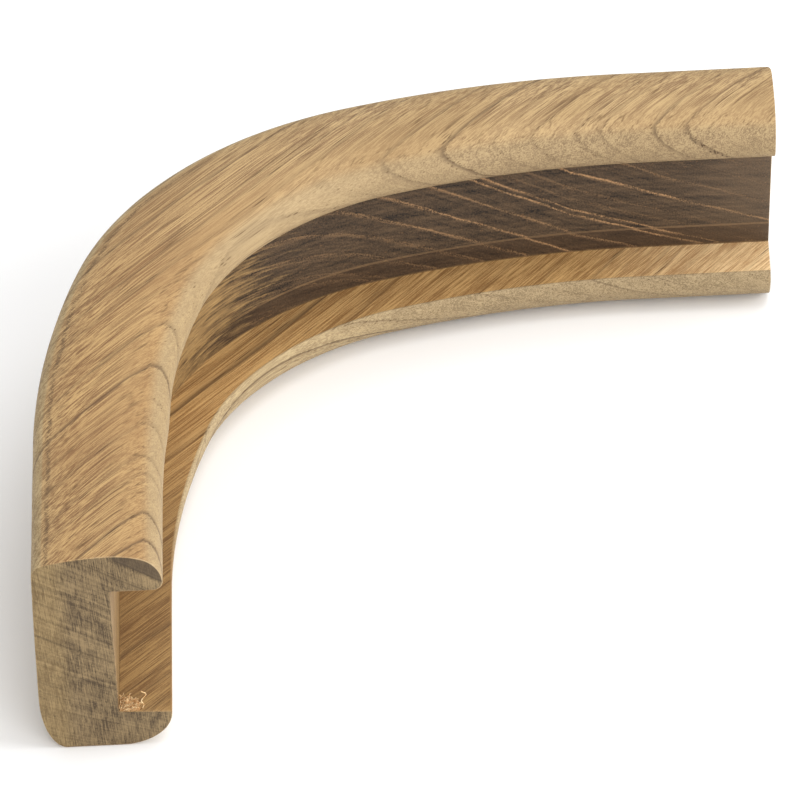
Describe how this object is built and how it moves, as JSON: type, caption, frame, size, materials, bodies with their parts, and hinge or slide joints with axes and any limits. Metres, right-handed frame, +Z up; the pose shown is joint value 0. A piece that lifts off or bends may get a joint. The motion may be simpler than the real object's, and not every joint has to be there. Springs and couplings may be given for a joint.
{
  "type": "grab rail corner piece",
  "caption": "Right-angle teak corner of a boat's grab and edge rail, with a C-shaped section whose slot fits over a panel edge.",
  "frame": {"origin": "middle of the part's outline in plan, on its flat underside", "axes": "+Z up; the near leg runs along +Y from its end at the front, and the far leg along +X to its end at the right; the slot opens towards +X and -Y"},
  "size_m": [0.1456, 0.1568, 0.0445],
  "materials": {
    "teak": "bare teak, routed and sanded, unoiled"
  },
  "bodies": {
    "root": {"corner_rail": "teak"}
  },
  "joints": []
}
